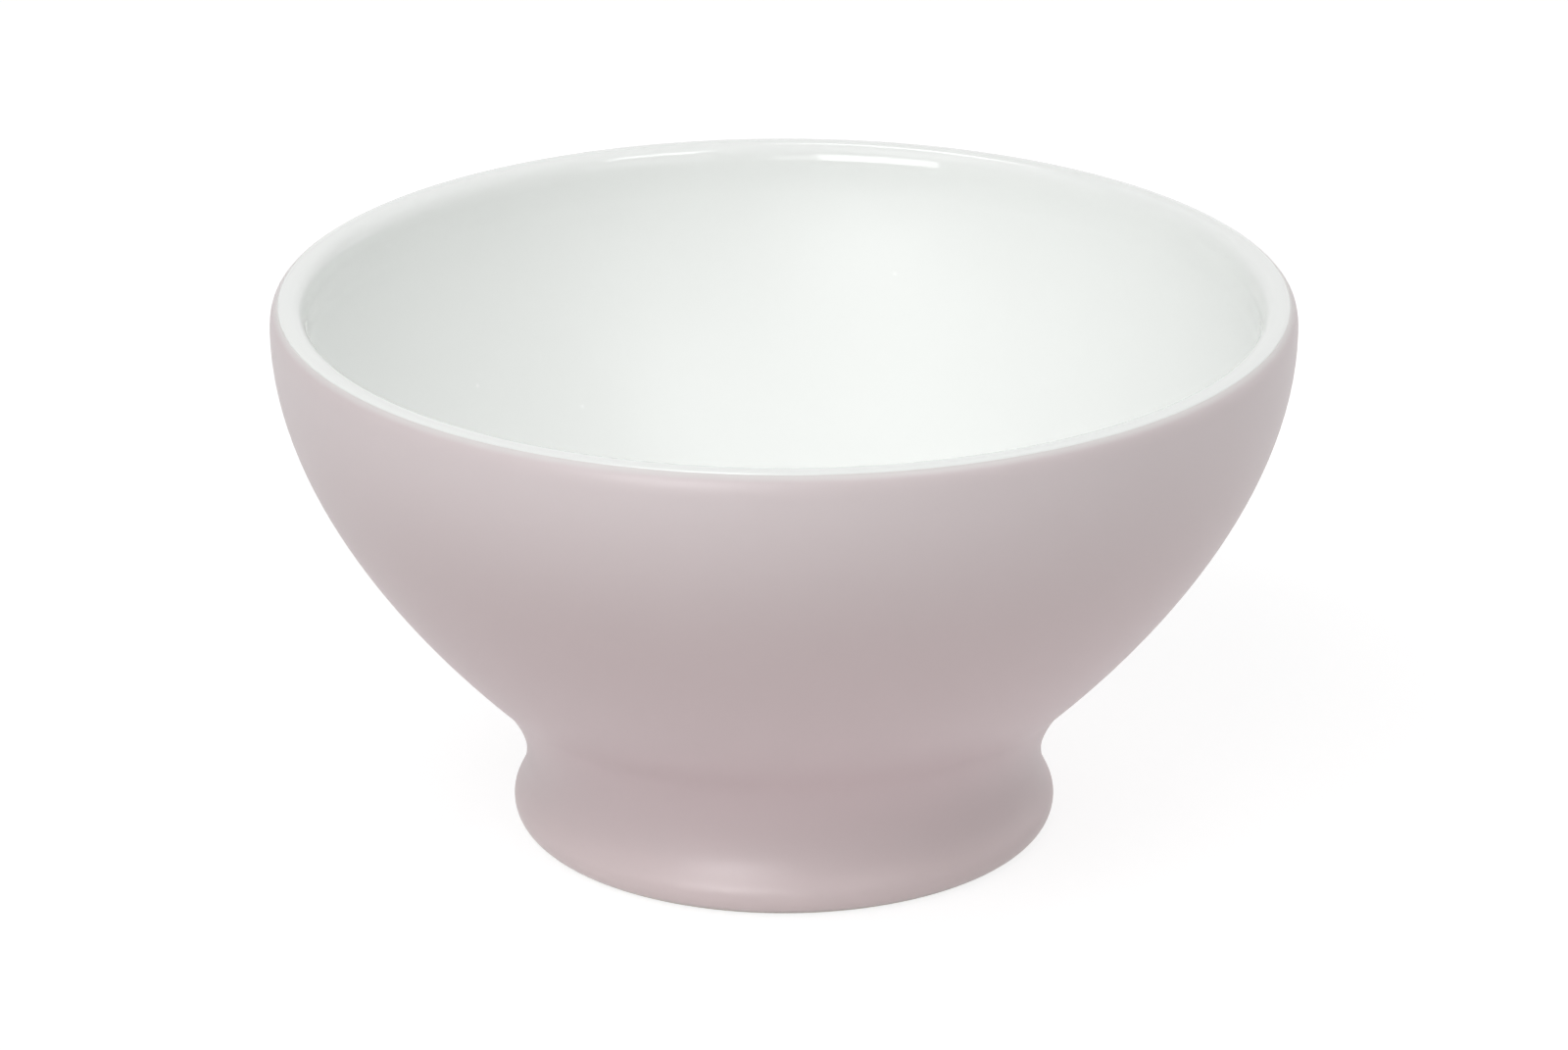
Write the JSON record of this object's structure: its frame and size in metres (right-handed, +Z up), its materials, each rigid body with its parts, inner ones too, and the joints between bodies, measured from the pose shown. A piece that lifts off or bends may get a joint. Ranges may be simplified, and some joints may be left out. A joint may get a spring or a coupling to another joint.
{
  "type": "latte bowl",
  "caption": "Round footed bowl for drinking milky coffee, whose belly narrows to a waist over a low flared foot ring, glazed pale pink outside and white inside.",
  "frame": {"origin": "centre of the foot ring's resting plane, where the bowl's axis meets the table", "axes": "+Z up along the bowl's axis, from the foot to the lip; the bowl is round, so +X and +Y are alike, and -Y faces the viewer of the picture"},
  "size_m": [0.14, 0.14, 0.0764],
  "materials": {
    "porcelain": "matte",
    "slip": "matte",
    "pink_glaze": "satin",
    "white_glaze": "gloss"
  },
  "bodies": {
    "root": {"bowl_body": "porcelain", "foot": "porcelain", "slip_joint": "slip", "pink_glaze": "pink_glaze", "white_glaze": "white_glaze", "well_glaze": "white_glaze"}
  },
  "joints": []
}
